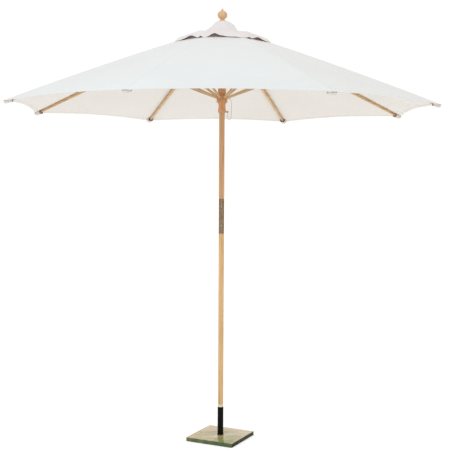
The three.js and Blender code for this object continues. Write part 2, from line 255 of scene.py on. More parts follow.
def ring_faces(rings, count, closed=False):
    """Faces from each ring of so many points to the next, and back to the first if closed."""
    faces = []
    for r in range(rings if closed else rings - 1):
        a, b = r * count, (r + 1) % rings * count
        for n in range(count):
            m = (n + 1) % count
            faces.append([a + n, a + m, b + m, b + n])
    return faces


def loft(name, rings, look):
    """Rings of the same number of points joined in order, with both ends closed."""
    count = len(rings[0])
    vertices = [tuple(p) for ring in rings for p in ring]
    ends = [list(range(count))[::-1], [len(vertices) - count + n for n in range(count)]]
    return add_piece(name, vertices, ends + ring_faces(len(rings), count), look)


def sweep(name, path, section, look):
    """A closed flat section of (side, up) points carried along a path, without twisting."""
    path = [Vector(p) for p in path]
    rings = []
    side = None
    for n, point in enumerate(path):
        ahead = (path[min(n + 1, len(path) - 1)] - path[max(n - 1, 0)]).normalized()
        if side is None:
            side = ahead.orthogonal().normalized()
        side = (side - ahead * side.dot(ahead)).normalized()
        up = ahead.cross(side)
        rings.append([point + side * s + up * u for s, u in section])
    return loft(name, rings, look)


def hoop(name, centre, axis, radius, wire, look, sides=64):
    """A closed ring of round wire."""
    axis = Vector(axis).normalized()
    side = axis.orthogonal().normalized()
    other = axis.cross(side)
    section = circle(wire, 12)
    vertices = []
    for n in range(sides):
        turn = 2 * math.pi * n / sides
        out = side * math.cos(turn) + other * math.sin(turn)
        vertices += [Vector(centre) + out * (radius + s) + axis * u for s, u in section]
    return shade(add_piece(name, vertices, ring_faces(sides, len(section), closed=True), look), 60)


def outward(piece):
    """Turns the faces of a closed piece to point out."""
    shape = bmesh.new()
    shape.from_mesh(piece.data)
    bmesh.ops.recalc_face_normals(shape, faces=shape.faces)
    shape.to_mesh(piece.data)
    shape.free()
    return piece


def apply_modifiers(piece):
    """Keeps the shape that the modifiers give, and removes them."""
    graph = bpy.context.evaluated_depsgraph_get()
    made = bpy.data.meshes.new_from_object(piece.evaluated_get(graph))
    piece.modifiers.clear()
    piece.data = made
    return piece


def carve(piece, cutters):
    """Cuts the other pieces out of this one and deletes them."""
    outward(piece)
    for cutter in cutters:
        outward(cutter)
        cut = piece.modifiers.new("cut", "BOOLEAN")
        cut.operation = "DIFFERENCE"
        cut.solver = "EXACT"
        cut.object = cutter
    bpy.context.view_layer.update()
    apply_modifiers(piece)
    for cutter in cutters:
        bpy.data.objects.remove(cutter)
    return piece


def soften(piece, width, segments=2):
    """Rounds every edge sharper than 40 degrees."""
    outward(piece)
    bevel = piece.modifiers.new("edges", "BEVEL")
    bevel.width = width
    bevel.segments = segments
    bevel.limit_method = "ANGLE"
    bevel.angle_limit = math.radians(40)
    bevel.harden_normals = False
    bpy.context.view_layer.update()
    return apply_modifiers(piece)


def block(name, xs, ys, zs, look):
    """A box between two values along each axis."""
    corners = [(xs[a], ys[b], z) for z in zs for a, b in ((0, 0), (1, 0), (1, 1), (0, 1))]
    faces = [[3, 2, 1, 0], [4, 5, 6, 7], [0, 1, 5, 4], [1, 2, 6, 5], [2, 3, 7, 6], [3, 0, 4, 7]]
    return add_piece(name, corners, faces, look)


def slot_cutters(xs, half_width, zs, look):
    """Blocks that carve a slot on the line of each rib."""
    cutters = [block(f"slot_{k}", xs, (-half_width, half_width), zs, look) for k in RIBS]
    for k, cutter in zip(RIBS, cutters):
        cutter.data.transform(arm(k))
    return cutters


def rod(name, start, end, radius, look, sides=24, dome=0.0):
    """A round bar from one point to another, with ends that bulge by the dome height."""
    start, end = Vector(start), Vector(end)
    length = (end - start).length
    cap = quarter(radius, dome, 4)[:-1] if dome else [(radius, 0)]
    outline = [(0, -dome), *[(r, -d) for r, d in cap[::-1]],
               *[(r, length + d) for r, d in cap], (0, length + dome)]
    piece = lathe(name, outline, look, sides)
    piece.data.transform(Matrix.Translation(start) @ pointing(end - start))
    return piece


def join(pieces):
    """Makes one piece of several, named as the first."""
    first = pieces[0]
    with bpy.context.temp_override(active_object=first, selected_editable_objects=pieces):
        bpy.ops.object.join()
    return first


def turned_copy(template, name, turn):
    """A copy of a piece with its own mesh, turned into place."""
    copy = bpy.data.objects.new(name, template.data.copy())
    copy.data.name = name
    copy.data.transform(turn)
    bpy.context.scene.collection.objects.link(copy)
    return copy


def grain(piece, along="z", seed=0.0):
    """Stores where each corner is along and across the timber, for the wood's figure."""
    co = np.array([v.co for v in piece.data.vertices], float)
    order = {"z": (2, 0, 1), "x": (0, 1, 2)}[along]
    store(piece, "grain", co[:, order] + np.array([3.7, 1.3, 0.7]) * seed)
    return piece


# ---- materials -------------------------------------------------------------------------------

class Look:
    """Builds one node material: the shader, its inputs and the textures that feed them."""

    def __init__(self, name, roughness=0.5, metallic=0.0, **sockets):
        self.material = bpy.data.materials.new(name)
        self.material.use_nodes = True
        self.tree = self.material.node_tree
        self.shader = self.tree.nodes["Principled BSDF"]
        self.shader.inputs["Roughness"].default_value = roughness
        self.shader.inputs["Metallic"].default_value = metallic
        for socket, value in sockets.items():
            self.shader.inputs[socket.replace("_", " ")].default_value = value

    def node(self, kind, settings=None, **inputs):
        """A new node; its inputs are given by name, or by number as i0, i1 and so on."""
        made = self.tree.nodes.new("ShaderNode" + kind)
        for name, value in (settings or {}).items():
            setattr(made, name, value)
        for name, value in inputs.items():
            self.feed(made.inputs[int(name[1:])] if name[0] == "i" and name[1:].isdigit()
                      else made.inputs[name.replace("_", " ")], value)
        return made

    def feed(self, socket, value):
        if isinstance(value, bpy.types.NodeSocket):
            self.tree.links.new(value, socket)
        else:
            socket.default_value = value

    def attribute(self, name):
        return self.node("Attribute", {"attribute_name": name}).outputs["Vector"]

    def axes(self, where):
        """The three numbers of a place."""
        return self.node("SeparateXYZ", Vector=where).outputs[:3]

    def place(self, attribute=None, scale=(1, 1, 1)):
        """Texture coordinates: the object's own, or a stored attribute, stretched."""
        source = self.attribute(attribute) if attribute else self.node("TexCoord").outputs["Object"]
        return self.node("Mapping", Vector=source, Scale=scale).outputs[0]

    def noise(self, where, scale, detail=3.0, roughness=0.5, distortion=0.0):
        made = self.node("TexNoise", Vector=where, Scale=scale, Detail=detail,
                         Roughness=roughness, Distortion=distortion)
        return made.outputs["Fac"]

    def maths(self, operation, first, second=0.0):
        return self.node("Math", {"operation": operation}, i0=first, i1=second).outputs[0]

    def ramp(self, value, *stops):
        """A colour ramp; each stop is a position and a colour, or a grey as one number."""
        made = self.node("ValToRGB", i0=value)
        points = made.color_ramp.elements
        while len(points) < len(stops):
            points.new(0.5)
        for point, (position, colour) in zip(points, stops):
            point.position = position
            point.color = (*colour, 1) if isinstance(colour, tuple) else (colour, colour, colour, 1)
        return made.outputs[0]

    def mix(self, share, first, second, blend="MIX"):
        made = self.node("Mix", {"data_type": "RGBA", "blend_type": blend}, i0=share)
        for socket, value in ((made.inputs[6], first), (made.inputs[7], second)):
            self.feed(socket, (*value, 1) if isinstance(value, tuple) else value)
        return made.outputs[2]

    def colour(self, value):
        self.feed(self.shader.inputs["Base Color"], value)

    def rough(self, value):
        self.feed(self.shader.inputs["Roughness"], value)

    def bump(self, height, depth, strength=1.0):
        made = self.node("Bump", Height=height, Distance=depth, Strength=strength)
        self.feed(self.shader.inputs["Normal"], made.outputs[0])


def wood(name, light, middle, dark, roughness=0.42):
    """Varnished straight-grained hardwood, with its figure running along the timber."""
    look = Look(name, roughness, Specular_IOR_Level=0.4)
    streaks = look.noise(look.place("grain", (4, 90, 90)), 1.0, 5, 0.6, 0.4)
    figure = look.noise(look.place("grain", (0.9, 14, 14)), 1.0, 3, 0.5, 1.2)
    pores = look.noise(look.place("grain", (45, 900, 900)), 1.0, 2, 0.5)
    body = look.ramp(streaks, (0.3, dark), (0.5, middle), (0.7, light))
    broad = look.ramp(figure, (0.35, 0.82), (0.65, 1.0))
    tone = look.mix(0.7, body, broad, "MULTIPLY")
    flecks = look.ramp(pores, (0.36, 0.72), (0.44, 1.0))
    look.colour(look.mix(0.6, tone, flecks, "MULTIPLY"))
    look.rough(look.ramp(streaks, (0.3, roughness + 0.1), (0.7, roughness - 0.05)))
    look.bump(pores, 0.0003, 0.4)
    return look.material


def metal(name, light, dark, roughness, metallic=1.0):
    """Handled metal with fine scratches and patches of tarnish."""
    look = Look(name, roughness, metallic)
    tarnish = look.noise(look.place(), 60, 4, 0.6)
    fine = look.noise(look.place(None, (1, 1, 0.08)), 1000, 3, 0.6)
    look.colour(look.ramp(tarnish, (0.35, dark), (0.65, light)))
    look.rough(look.ramp(fine, (0.35, roughness - 0.08), (0.65, roughness + 0.1)))
    look.bump(fine, 0.0001, 0.3)
    return look.material


def paint(name, colour, roughness):
    """Powder-coated steel with a slight orange-peel surface and dusty scuffs."""
    look = Look(name, roughness, 0.0, Specular_IOR_Level=0.08, Coat_Weight=0.02, Coat_Roughness=0.3)
    where = look.place()
    scuffs = look.noise(look.place(None, (1, 1, 0.3)), 40, 5, 0.65)
    lighter = tuple(min(1.0, c * 2.2 + 0.01) for c in colour)
    look.colour(look.ramp(scuffs, (0.5, colour), (0.8, lighter)))
    look.rough(look.ramp(scuffs, (0.4, roughness - 0.06), (0.7, roughness + 0.15)))
    look.bump(look.noise(where, 900, 2), 0.0002, 0.35)
    return look.material


def stone(name, pale, warm, green, dark, roughness, gloss=0.6):
    """Marble: patches of several minerals, cloudy, with darker veins."""
    look = Look(name, roughness, Specular_IOR_Level=gloss)
    where = look.place()
    clouds = look.noise(where, 11, 5, 0.55, 1.6)
    patches = look.noise(look.place(None, (1, 1.7, 1)), 6, 4, 0.5, 2.2)
    grit = look.noise(where, 160, 4, 0.7)
    base = look.mix(look.ramp(clouds, (0.42, 0.0), (0.6, 1.0)), pale, warm)
    x, y, _ = look.axes(where)
    to_corner = look.maths("SUBTRACT", x, y)
    greener = look.maths("ADD", patches, look.ramp(to_corner, (0.1, -0.12), (0.3, 0.16)))
    base = look.mix(look.ramp(greener, (0.45, 0.0), (0.62, 1.0)), base, green)
    line = look.maths("ABSOLUTE", look.maths("SUBTRACT", look.noise(where, 9, 6, 0.6, 2.5), 0.5))
    vein = look.ramp(line, (0.0, 1.0), (0.03, 0.0))
    base = look.mix(look.maths("MULTIPLY", vein, 0.55), base, dark)
    speckle = look.ramp(grit, (0.4, 0.78), (0.6, 1.06))
    look.colour(look.mix(0.7, base, speckle, "MULTIPLY"))
    look.rough(look.ramp(grit, (0.4, roughness), (0.7, roughness + 0.08)))
    return look.material


def canvas(name, colour, shade_colour, stitched=True, vent_hem_shade=None):
    """Woven acrylic canvas. The attribute 'cloth' holds metres across, along, and from the hem.
    A colour may be given for a band just outside the vent cap's edge: painted shade of the cap's
    hem."""
    thread, seam_offset, hem_offset = 0.0011, 0.0045, 0.017
    look = Look(name, 0.88, Specular_IOR_Level=0.2, Sheen_Weight=0.12, Sheen_Roughness=0.5)
    across, along, from_hem = look.axes(look.attribute("cloth"))
    turns = 2 * math.pi / thread
    warp = look.maths("SINE", look.maths("MULTIPLY", across, turns))
    weft = look.maths("SINE", look.maths("MULTIPLY", along, turns))
    weave = look.maths("MULTIPLY", warp, weft)
    clouds = look.noise(look.place(), 2.2, 4, 0.55)
    slubs = look.noise(look.place("cloth", (1, 14, 0)), 60, 3, 0.6)
    tone = look.mix(look.ramp(clouds, (0.35, 0.0), (0.7, 1.0)), shade_colour, colour)
    if vent_hem_shade:
        # Painted shade of the vent cap's hem: a pinker band just outside the cap's edge.
        flat = look.node("VectorMath", {"operation": "LENGTH"}, i0=look.place(None, (1, 1, 0)))
        band = look.ramp(flat.outputs["Value"], (VENT_HEM + 0.01, 1.0), (VENT_HEM + 0.06, 0.0))
        tone = look.mix(band, tone, vent_hem_shade)
    tone = look.mix(0.5, tone, look.ramp(slubs, (0.3, 0.95), (0.6, 1.0)), "MULTIPLY")
    height = look.maths("MULTIPLY", weave, 0.25)
    if stitched:
        seam = stitches(look, look.maths("ABSOLUTE", across), seam_offset, along)
        hem = stitches(look, from_hem, hem_offset, across)
        thread_mask = look.maths("MAXIMUM", seam, hem)
        tone = look.mix(look.maths("MULTIPLY", thread_mask, 0.35), tone, (0.55, 0.5, 0.46))
        height = look.maths("SUBTRACT", height, thread_mask)
    look.colour(tone)
    look.bump(height, 0.0005, 0.5)
    return look.material


def stitches(look, distance, offset, along):
    """1 on a dashed line of thread at one distance from a seam or hem, and 0 elsewhere."""
    thread, pitch = 0.0006, 0.0045
    near = look.maths("ABSOLUTE", look.maths("SUBTRACT", distance, offset))
    line = look.maths("LESS_THAN", near, thread)
    beat = look.maths("SINE", look.maths("MULTIPLY", along, 2 * math.pi / pitch))
    return look.maths("MULTIPLY", line, look.maths("GREATER_THAN", beat, -0.6))


def rope(name, colour, dark):
    """Twisted cotton cord: the strands run round it, and the grooves between them are darkened as
    painted shade.
    """
    look = Look(name, 0.85, Specular_IOR_Level=0.2, Sheen_Weight=0.2)
    along, around, _ = look.axes(look.attribute("grain"))
    lay, strands = 0.011, 3
    turn = look.maths("MULTIPLY", along, 2 * math.pi / lay)
    phase = look.maths("ADD", turn, look.maths("MULTIPLY", around, strands))
    groove = look.maths("SINE", phase)
    fuzz = look.noise(look.place(), 900, 3, 0.6)
    # The grooves' dark colour is painted shade.
    # half the groove plus the node's own third input, 0.5
    tone = look.ramp(look.maths("MULTIPLY_ADD", groove, 0.5), (0.0, dark), (0.4, colour))
    look.colour(look.mix(0.4, tone, look.ramp(fuzz, (0.3, 0.8), (0.7, 1.0)), "MULTIPLY"))
    look.bump(groove, 0.0006, 0.7)
    return look.material


def moulded(name, colour, roughness):
    """Moulded plastic, faintly clouded and grained."""
    look = Look(name, roughness, Specular_IOR_Level=0.45)
    bloom = look.noise(look.place(), 35, 4, 0.6)
    darker = tuple(c * 0.82 for c in colour)
    look.colour(look.ramp(bloom, (0.35, darker), (0.65, colour)))
    look.bump(look.noise(look.place(), 700, 3), 0.0001, 0.4)
    return look.material


# ---- cord ------------------------------------------------------------------------------------

CORD_DIAMETER = 0.003
CORD_ROUTE = [(0.0343, 2.185), (0.0423, 2.186), (0.052, 2.183), (0.059, 2.166), (0.061, 2.135),
              (0.0605, 2.1), (0.058, 2.07), (0.052, 2.055), (0.045, 2.0515), (0.0385, 2.056),
              (0.0359, 2.07), (0.0364, 2.0955)]


def add_cord():
    """The limp cord from the runner's edge down in a loop and back up to the locking peg."""
    path = [Vector((PEG_AXIS.x * r, PEG_AXIS.y * r, z)) for r, z in smooth_line(CORD_ROUTE, 8)]
    sides = 12
    look = rope("cotton_cord", (0.6, 0.57, 0.52), (0.3, 0.28, 0.25))
    cord = sweep("cord", path, circle(CORD_DIAMETER / 2, sides), look)
    lengths = np.concatenate([[0], np.cumsum([(b - a).length for a, b in zip(path, path[1:])])])
    values = [(lengths[n // sides], 2 * math.pi * (n % sides) / sides, 0)
              for n in range(len(cord.data.vertices))]
    store(cord, "grain", values)
    shade(outward(cord), 60)
    loop_at = on_peg_axis(CORD_ROUTE[-1][0], middle_z("lock_peg"))
    knot_at = on_peg_axis(CORD_ROUTE[0][0] + 0.001, CORD_ROUTE[0][1])
    loop = grain(hoop("cord_loop", loop_at, PEG_AXIS, 0.0063, 0.0014, look, 32))
    knot = grain(hoop("cord_knot", knot_at, PEG_AXIS, 0.0024, 0.0016, look, 24))
    fit(loop, "peg")
    fit(knot, "runner")
    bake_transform(cord)
    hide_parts("peg_cord")


# ---- the base --------------------------------------------------------------------------------

def add_base():
    """The square marble plate, polished on top and sawn at its sides, with the bolt's recess."""
    low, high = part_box("base_plate")
    corner, upright = 0.003, 0.97
    square = rounded([(low.x, low.y), (high.x, low.y), (high.x, high.y), (low.x, high.y)],
                     corner, 5)
    # The polished top's pale beige and pink are partly the stone's colour and partly painted
    # reflection of the bright surroundings, so the top is paler than the sawn sides.
    polished = stone("polished_stone_painted_reflection", (0.55, 0.435, 0.215), (0.60, 0.395, 0.235),
                     (0.29, 0.31, 0.10), (0.24, 0.22, 0.12), 0.07)
    sawn = stone("sawn_stone", (0.12, 0.15, 0.064), (0.16, 0.135, 0.07), (0.07, 0.108, 0.042),
                 (0.038, 0.056, 0.027), 0.5, 0.25)
    # The third stone is painted shade: the same stone darkened for the sides that face +X and +Y.
    dark = stone("shaded_side_stone", (0.03, 0.036, 0.014), (0.05, 0.042, 0.02), (0.014, 0.024, 0.009),
                 (0.006, 0.01, 0.005), 0.5, 0.15)
    rings = [[(x, y, z) for x, y in square] for z in (low.z, high.z)]
    plate = loft("stone_plate", rings, polished)
    for look in (sawn, dark):
        plate.data.materials.append(look)
    carve(plate, [rod("bolt_hole", (0, 0, low.z - 0.01), (0, 0, high.z + 0.01), 0.006, polished),
                  rod("recess", (0, 0, low.z - 0.01), (0, 0, low.z + 0.01), 0.018, polished, 48)])
    soften(plate, 0.0014, 3)
    # Sides facing +X or +Y take the painted-shade stone; the other sides take the sawn stone.
    for face in plate.data.polygons:
        if abs(face.normal.z) < upright:
            face.material_index = 2 if max(face.normal.x, face.normal.y) > 0.5 else 1
    fit(shade(plate), "base", "base_plate")


def add_tube():
    """The black steel tube, closed by a solid foot, with its weld."""
    low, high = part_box("base_tube")
    radius, wall, foot, bolt_hole = high.x, 0.00115, 0.019, 0.0054
    black = paint("black_powder_coat", (0.003, 0.004, 0.0022), 0.5)
    outline = rounded([(bolt_hole, low.z), (radius, low.z), (radius, high.z),
                       (radius - wall, high.z), (radius - wall, low.z + foot),
                       (bolt_hole, low.z + foot)], 0.0006, 3)
    tube = lathe("steel_tube", outline, black)
    inside, bead = radius - 0.0004, 0.0022
    arc = [(inside + x, low.z + z) for x, z in quarter(bead, bead, 6)]
    weld = lathe("weld_bead", [(inside, low.z), *arc], black)
    fit(shade(join([tube, weld])), "base", "base_tube")


def add_collar():
    """The pale plastic collar in the tube's mouth."""
    low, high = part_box("pole_collar")
    bore, sleeve, lip, shoulder = 0.0169, 0.0175, 0.0179, 0.2073
    look = moulded("pale_plastic", (0.72, 0.62, 0.47), 0.4)
    outline = rounded([(bore, low.z), (sleeve, low.z), (sleeve, shoulder), (high.x, shoulder),
                       (lip, shoulder + 0.0015), (lip, high.z), (bore, high.z)], 0.0004, 3)
    fit(shade(lathe("plastic_collar", outline, look)), "collar", "pole_collar")


# ---- the pole --------------------------------------------------------------------------------

STUD_HOLE = 0.0044             # radius of the hole for the finial's stud
JOINT_GAP = 0.0003             # air where a shoulder of the pole meets another piece


def add_poles():
    """The two halves of the pole, each with its tenon in the ferrule; returns the upper wood."""
    lower_wood = wood("pale_wood", (0.73, 0.47, 0.23), (0.66, 0.415, 0.19), (0.52, 0.305, 0.13))
    upper_wood = wood("honey_wood", (0.615, 0.36, 0.175), (0.55, 0.305, 0.145),
                      (0.41, 0.205, 0.085))
    collar_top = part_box("pole_collar")[1].z + JOINT_GAP
    ferrule_low, ferrule_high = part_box("ferrule")
    low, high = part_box("lower_pole")
    radius, foot, tenon = high.x, 0.0165, 0.016
    shoulder = ferrule_low.z - JOINT_GAP
    outline = [(0, low.z), *rounded([(foot - 0.001, low.z), (foot, low.z + 0.001),
               (foot, collar_top), (radius, collar_top), (radius, shoulder), (tenon, shoulder),
               (tenon, high.z)], 0.0006, 3, closed=False), (0, high.z)]
    lower = shade(grain(lathe("lower_pole_wood", outline, lower_wood), "z", 1))
    fit(lower, "lower_pole", "lower_pole")
    low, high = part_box("upper_pole")
    shoulder, hole_floor = ferrule_high.z + JOINT_GAP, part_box("finial_stud")[0].z - JOINT_GAP
    outline = [(0, low.z), *rounded([(tenon, low.z), (tenon, shoulder), (radius, shoulder),
               (radius, high.z), (STUD_HOLE, high.z), (STUD_HOLE, hole_floor)],
               0.0006, 3, closed=False), (0, hole_floor)]
    upper = shade(grain(lathe("upper_pole_wood", outline, upper_wood), "z", 2))
    fit(upper, "mast", "upper_pole")
    return upper_wood


def add_ferrule():
    """The brass sleeve that joins the pole's halves, and its two screws; returns both metals."""
    low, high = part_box("ferrule")
    inner, outer = 0.0163, high.x
    look = metal("aged_brass", (0.28, 0.195, 0.125), (0.18, 0.115, 0.065), 0.42, metallic=0.75)
    outline = rounded([(inner, low.z), (outer, low.z), (outer, high.z), (inner, high.z)], 0.0005, 3)
    fit(shade(lathe("ferrule_sleeve", outline, look)), "lower_pole", "ferrule")
    steel = metal("zinc_steel", (0.62, 0.58, 0.53), (0.42, 0.39, 0.35), 0.32)
    for end, tip in (("lower", 0.007), ("upper", inner)):
        add_screw(f"ferrule_screw_{end}", f"ferrule_screw_head_{end}", tip, outer, steel)
    return look, steel


def add_screw(node, name, tip, surface, look):
    """A slotted dome-headed screw, from its tip's radius to just proud of the ferrule."""
    low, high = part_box(node)
    middle = (low + high) / 2
    seat, head, thread, dome = surface + 0.00015, 0.0036, 0.002, 0.0012
    outline = [(0, tip), (0.0016, tip), (thread, tip + 0.002), (thread, seat), (head, seat),
               *[(r, seat + z) for r, z in quarter(head, dome, 6)[1:-1]], (0, seat + dome)]
    slot_half, slot_depth = 0.0004, 0.0005
    cutter = block("screw_slot", (-slot_half, slot_half), (-head, head),
                   (seat + dome - slot_depth, seat + 0.003), look)
    screw = carve(lathe(name, outline, look, 32), [cutter])
    facing = Vector((middle.x, middle.y, 0)).normalized()
    screw.data.transform(Matrix.Translation((0, 0, middle.z)) @ pointing(facing))
    fit(shade(screw), "lower_pole", node)


# ---- the crown, the finial and the runner ----------------------------------------------------

def add_crown(look):
    """The turned hub at the top of the pole, with a slot for each rib and a groove for the ring
    that they hinge on."""
    low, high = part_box("crown")
    bore, boss, disc, neck, cap = 0.0179, 0.0255, 0.058, 0.030, 0.042
    disc_low, disc_high, cap_low, slot_top, bore_top = 2.588, 2.630, 2.648, 2.6185, 2.6423
    outline = rounded([(bore, low.z), (boss, low.z), (boss, disc_low), (disc, disc_low),
                       (disc, disc_high), (neck, disc_high), (neck, cap_low), (cap, cap_low),
                       (cap, high.z), (STUD_HOLE, high.z), (STUD_HOLE, bore_top), (bore, bore_top)],
                      0.0022, 4)
    crown = lathe("crown_hub", outline, look)
    below, half = disc_low - 0.01, 0.0024
    cutters = slot_cutters((0.031, 0.07), 0.0086, (below, slot_top), look)
    inner, outer = HINGE.x - half, HINGE.x + half
    groove = lathe("groove", [(inner, below), (outer, below), (outer, HINGE.z + half),
                              (inner, HINGE.z + half)], look)
    fit(shade(grain(carve(crown, [*cutters, groove]), "z", 3)), "mast", "crown")


def add_finial():
    """The turned ball and point on top, drawn from its own foot up."""
    low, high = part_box("finial")
    drawn_height = 0.0829
    look = wood("turned_wood", (0.80, 0.53, 0.33), (0.71, 0.44, 0.25), (0.5, 0.265, 0.125), 0.34)
    stretch = (high.z - low.z) / drawn_height
    foot = rounded([(STUD_HOLE, 0), (0.0235, 0), (0.0235, 0.0032), (0.019, 0.0062)], 0.0012, 4,
                   closed=False)
    neck = smooth_line([(0.019, 0.0062), (0.0155, 0.0092), (0.0138, 0.0125), (0.0146, 0.0155)], 5)
    ball = smooth_line([(0.0156, 0.0168), (0.022, 0.02), (0.028, 0.027), (0.0306, 0.035),
                        (0.031, 0.042), (0.0295, 0.050), (0.025, 0.057), (0.018, 0.063),
                        (0.0115, 0.0675), (0.007, 0.072), (0.0046, 0.077), (0.0032, 0.0805),
                        (0.0015, 0.0825)], 5)
    shape = [(r, low.z + z * stretch) for r, z in [*foot, *neck, *ball]]
    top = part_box("finial_stud")[1].z + 0.002
    outline = [(0, top), (STUD_HOLE, top), *shape, (0, high.z)]
    finial = shade(grain(lathe("finial_onion", outline, look), "z", 4), 50)
    fit(finial, "finial", "finial")


def add_runner(look, steel):
    """The turned runner, with a slot for each strut, the ring they hinge on and the peg's hole."""
    low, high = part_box("runner")
    bore, core, waist, bead, disc, barrel = 0.0197, 0.0246, 0.0222, 0.0244, 0.034, 0.026
    disc_low, slot_floor, disc_high = 2.158, 2.178, 2.206
    lower = [(bead - 0.0012, 0.0012), (bead, 0.005), (bead + 0.0004, 0.0135), (bead, 0.022),
             (bead - 0.002, 0.028)]
    middle = [(0.02245, 0.031), (waist, 0.037), (waist - 0.0006, 0.043), (waist, 0.049),
              (core, disc_low - 0.005 - low.z)]
    lower, middle = (smooth_line([(r, low.z + z) for r, z in line], 4) for line in (lower, middle))
    rim = rounded([(core, disc_low), (disc, disc_low), (disc, disc_high), (waist, disc_high),
                   (waist, disc_high + 0.007)], 0.002, 4, closed=False)
    upper = smooth_line([(barrel - 0.0008, disc_high + 0.0125), (barrel, disc_high + 0.018),
                         (barrel, high.z - 0.009), (barrel - 0.0008, high.z - 0.004),
                         (barrel - 0.003, high.z)], 4)
    outline = [(bore, low.z), (bead - 0.002, low.z), *lower, *middle, *rim, *upper, (bore, high.z)]
    runner = lathe("runner_hub", outline, look)
    cutters = slot_cutters((core + 0.0003, disc + 0.01), 0.0065, (slot_floor, disc_high + 0.01),
                           look)
    peg_z = middle_z("lock_peg")
    hole = rod("peg_hole", on_peg_axis(bore - 0.003, peg_z), on_peg_axis(bead + 0.005, peg_z),
               0.0034, look)
    runner = shade(grain(carve(runner, [*cutters, hole]), "z", 5))
    fit(runner, "runner", "runner")
    ring = hoop("runner_ring", (0, 0, STRUT_END.z), (0, 0, 1), STRUT_END.x, 0.0014, steel, 96)
    fit(ring, "runner")
    add_peg(look, peg_z)


def add_peg(look, peg_z):
    """The turned locking peg, drawn along its own axis from the pole's side to its head."""
    start, seat, end = 0.018, 0.0252, 0.0422
    shaft, neck, head = 0.003, 0.0038, 0.005
    outline = [(0, start), *rounded([(shaft - 0.0006, start), (shaft, start + 0.001), (shaft, seat),
               (neck, seat), (head, seat + 0.007), (head, end - 0.002), (head - 0.0015, end)],
               0.0006, 3, closed=False), (0, end)]
    peg = grain(lathe("locking_peg", outline, look, 48), "z", 6)
    peg.data.transform(Matrix.Translation((0, 0, peg_z)) @ pointing(PEG_AXIS))
    fit(shade(peg), "peg", "lock_peg")


STRUT_OUTER, STRUT_INNER = 0.0065, 0.006   # half a strut's height, at its two pivots


def strut_end():
    """The inner pivot of a strut, in the plane of its rib."""
    points = drawn_points("strut_1")
    middle = Vector(points.mean(axis=0))
    along = (Vector((middle.x, 0, middle.z)) - PIVOT).normalized()
    reach = max((Vector(p) - PIVOT).dot(along) for p in points)
    return PIVOT + along * (reach - STRUT_INNER)


STRUT_END = strut_end()


# ---- ribs, brackets and struts ---------------------------------------------------------------

def plank_rings(stations, width, corner=0.0022):
    """Upright sections of a plank at (x, low z, high z) stations, with rounded corners."""
    rings = []
    for x, low, high in stations:
        half = width / 2
        reach = min(corner, 0.48 * (high - low))
        outline = rounded([(-half, low), (half, low), (half, high), (-half, high)], reach, 3)
        rings.append([(x, y, z) for y, z in outline])
    return rings


RIB_CLEARANCE = 0.004          # top of the cloth to the top of a rib
RIB_HEIGHT, RIB_TIP_HEIGHT, RIB_TAPER_FROM = 0.024, 0.015, 0.6


def rib_height(x, tip):
    tapered = max(0, x - RIB_TAPER_FROM) / (tip - RIB_TAPER_FROM)
    return RIB_HEIGHT + (RIB_TIP_HEIGHT - RIB_HEIGHT) * tapered


def round_end(radius):
    """How far out and how high a plank's half-round end is, from near its tip to its pivot."""
    turns = [math.pi / 2 * (1 - n / 7) * 0.97 for n in range(7)]
    return [(radius * math.sin(a), radius * math.cos(a)) for a in turns]


def rib_template(look):
    """A rib along +X, from its round end on the crown's ring to its blunt tip."""
    points = drawn_points("rib_1")
    tip, width = points[:, 0].max(), points[:, 1].max() * 2
    stations = [(HINGE.x - out, HINGE.z - half, HINGE.z + half)
                for out, half in round_end(RIB_HEIGHT / 2)]
    for x in np.linspace(HINGE.x + 0.004, tip - 0.006, 44):
        top = ridge_z(x) - RIB_CLEARANCE
        stations.append((x, top - rib_height(x, tip), top))
    for inset, share in ((0.003, 0.92), (0.001, 0.78), (0.0001, 0.62)):
        x = tip - inset
        top, height = ridge_z(x) - RIB_CLEARANCE, rib_height(x, tip)
        middle = top - height / 2
        stations.append((x, middle - height / 2 * share, middle + height / 2 * share))
    template = loft("rib_template", plank_rings(stations, width), look)
    eye = rod("eye", (HINGE.x, -0.02, HINGE.z), (HINGE.x, 0.02, HINGE.z), 0.0032, look)
    return shade(grain(carve(template, [eye]), "x", 7), 30)


def strut_template(look):
    """A strut with a round end and an eye at both pivots, laid from the bracket to the runner."""
    along = STRUT_END - PIVOT
    length, width = along.length, 0.012
    stations = [(-out, -half, half) for out, half in round_end(STRUT_OUTER)]
    for x in np.linspace(0.002, length - 0.002, 12):
        half = STRUT_OUTER + (STRUT_INNER - STRUT_OUTER) * x / length
        stations.append((x, -half, half))
    stations += [(length + out, -half, half) for out, half in round_end(STRUT_INNER)[::-1]]
    template = loft("strut_template", plank_rings(stations, width, 0.0018), look)
    eyes = [rod("eye", (x, -0.02, 0), (x, 0.02, 0), radius, look)
            for x, radius in ((0, 0.0028), (length, 0.0022))]
    shade(grain(carve(template, eyes), "x", 8), 30)
    lean = math.atan2(along.z, along.x)
    template.data.transform(Matrix.Translation(PIVOT) @ Matrix.Rotation(-lean, 4, "Y"))
    return template


